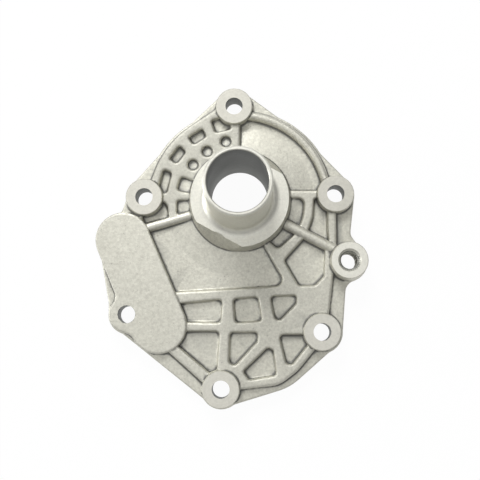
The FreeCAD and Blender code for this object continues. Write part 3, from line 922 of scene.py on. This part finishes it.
def finishes(finish):
    grain = grain_group()
    marks = tool_mark_group()
    cut = finish.cut_roughness
    smooth = cut - TURNED_SMOOTHER
    faced, turned, shaded_bore = finish.faced_colour, finish.turned_colour, finish.bore_and_shade_colour
    return [
        metal("Cast skin", finish, grain, finish.skin_roughness),
        metal("Faced seat", finish, grain, cut, marks, faced, metallic=0.55, feed=5500.0),
        # the bored finish's dark colour is partly painted shade inside the bores
        metal("Bored metal", finish, grain, cut, marks, shaded_bore, feed=12000.0, along=1.0),
        metal("Turned metal", finish, grain, smooth, marks, turned, metallic=0.9, feed=14000.0, along=1.0),
        metal("Milled joint face", finish, grain, cut - MILLED_SMOOTHER, marks, faced, feed=3000.0),
    ]


# ---------------------------------------------------------------- stage
def aim(piece, target):
    direction = Vector(target) - piece.location
    piece.rotation_euler = direction.to_track_quat("-Z", "Y").to_euler()


def soft_light(name, place, target, width, height, power):
    lamp = bpy.data.lights.new(name, "AREA")
    lamp.shape = "RECTANGLE"
    lamp.size = width
    lamp.size_y = height
    lamp.energy = power
    piece = bpy.data.objects.new(name, lamp)
    piece.location = place
    bpy.context.scene.collection.objects.link(piece)
    aim(piece, target)


def sweep_material(stage):
    """White paper that keeps the object's shadow, and is clear from below to show the joint face."""
    material = bpy.data.materials.new("Paper sweep")
    material.use_nodes = True
    tree = material.node_tree
    tree.nodes.clear()
    output = tree.nodes.new("ShaderNodeOutputMaterial")
    paper = tree.nodes.new("ShaderNodeBsdfDiffuse")
    paper.inputs["Color"].default_value = (*stage.floor_colour, 1)
    white = tree.nodes.new("ShaderNodeEmission")
    white.inputs["Color"].default_value = (1, 1, 1, 1)
    path = tree.nodes.new("ShaderNodeLightPath")
    seen = value_node(tree, "MAXIMUM", path.outputs["Is Camera Ray"], path.outputs["Is Glossy Ray"])
    seen = value_node(tree, "MAXIMUM", seen, path.outputs["Is Transmission Ray"])
    mix = tree.nodes.new("ShaderNodeMixShader")
    wire(tree, value_node(tree, "MULTIPLY", seen, PAPER_WHITE), mix.inputs[0])
    wire(tree, paper.outputs[0], mix.inputs[1])
    wire(tree, white.outputs[0], mix.inputs[2])
    open_below = tree.nodes.new("ShaderNodeMixShader")
    clear = tree.nodes.new("ShaderNodeBsdfTransparent")
    side = tree.nodes.new("ShaderNodeNewGeometry")
    wire(tree, side.outputs["Backfacing"], open_below.inputs[0])
    wire(tree, mix.outputs[0], open_below.inputs[1])
    wire(tree, clear.outputs[0], open_below.inputs[2])
    wire(tree, open_below.outputs[0], output.inputs[0])
    return material


def room_world(stage):
    """A room with a dim backdrop all round, a bright ceiling and a bright side behind the key light."""
    world = bpy.data.worlds.new("Studio")
    world.use_nodes = True
    tree = world.node_tree
    tree.nodes.clear()
    output = tree.nodes.new("ShaderNodeOutputWorld")
    room = tree.nodes.new("ShaderNodeBackground")
    room.inputs["Color"].default_value = (1, 1, 1, 1)
    way = tree.nodes.new("ShaderNodeTexCoord")
    strength = stage.dark_side
    for toward, fade, first, last in (
            (UP_WAY, BACKDROP_FADE, stage.backdrop, 0.0),
            (CEILING_WAY, CEILING_FADE, 0.0, stage.overhead),
            (BRIGHT_WAY, BRIGHT_FADE, 0.0, stage.bright_side)):
        lean = tree.nodes.new("ShaderNodeVectorMath")
        lean.operation = "DOT_PRODUCT"
        lean.inputs[1].default_value = toward
        wire(tree, way.outputs["Generated"], lean.inputs[0])
        part = remap(tree, lean.outputs["Value"], *fade, first, last)
        strength = value_node(tree, "ADD", part, strength)
    wire(tree, strength, room.inputs["Strength"])
    wire(tree, room.outputs[0], output.inputs[0])
    bpy.context.scene.world = world


class COVER_OT_stage(bpy.types.Operator):
    """Set up the camera, the paper sweep and the soft lights"""

    bl_idname = "cover.stage"
    bl_label = "Stage"

    def execute(self, context):
        stage = context.scene.cover_stage
        scene = context.scene
        scene.view_settings.view_transform = "Standard"
        camera = bpy.data.objects.new("camera", bpy.data.cameras.new("camera"))
        camera.data.lens = stage.lens
        camera.location = CAMERA_PLACE
        camera.rotation_euler = [math.radians(angle) for angle in CAMERA_TURN_DEG]
        camera.data.clip_start = CAMERA_NEAR
        scene.collection.objects.link(camera)
        scene.camera = camera
        sheet = bmesh.new()
        bmesh.ops.create_grid(sheet, x_segments=1, y_segments=1, size=FLOOR_HALF_WIDTH)
        floor = as_object("paper_sweep", sheet)
        floor.location.z = -FLOOR_GAP
        floor.data.materials.append(sweep_material(stage))
        soft_light("key", KEY_PLACE, LIT_POINT, KEY_WIDTH, KEY_HEIGHT, stage.key_power)
        soft_light("side", SIDE_PLACE, LIT_POINT, SIDE_WIDTH, SIDE_HEIGHT, stage.side_power)
        room_world(stage)
        return {"FINISHED"}


# ---------------------------------------------------------------- panel
class COVER_PT_panel(bpy.types.Panel):
    """Sizes, finishes and studio of the front cover"""

    bl_idname = "COVER_PT_panel"
    bl_label = "Front cover"
    bl_space_type = "VIEW_3D"
    bl_region_type = "UI"
    bl_category = "Front Cover"

    def draw(self, context):
        layout = self.layout
        for group in (context.scene.cover_casting, context.scene.cover_finish, context.scene.cover_stage):
            box = layout.box()
            for name in group.__annotations__:
                box.prop(group, name)
        for operator in OPERATORS:
            layout.operator(operator.bl_idname)


GROUPS = {
    "cover_casting": CastingSettings,
    "cover_finish": FinishSettings,
    "cover_stage": StageSettings,
}
OPERATORS = (COVER_OT_stage, COVER_OT_raw_casting, COVER_OT_machining)
CLASSES = (*GROUPS.values(), *OPERATORS, COVER_PT_panel)


def register():
    for each in CLASSES:
        bpy.utils.register_class(each)
    for name, group in GROUPS.items():
        setattr(bpy.types.Scene, name, bpy.props.PointerProperty(type=group))


def unregister():
    for name in GROUPS:
        delattr(bpy.types.Scene, name)
    for each in reversed(CLASSES):
        bpy.utils.unregister_class(each)


def main():
    register()
    bpy.ops.cover.stage()
    bpy.ops.cover.raw_casting()
    bpy.ops.cover.machining()
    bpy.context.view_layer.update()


if __name__ == "__main__":
    main()
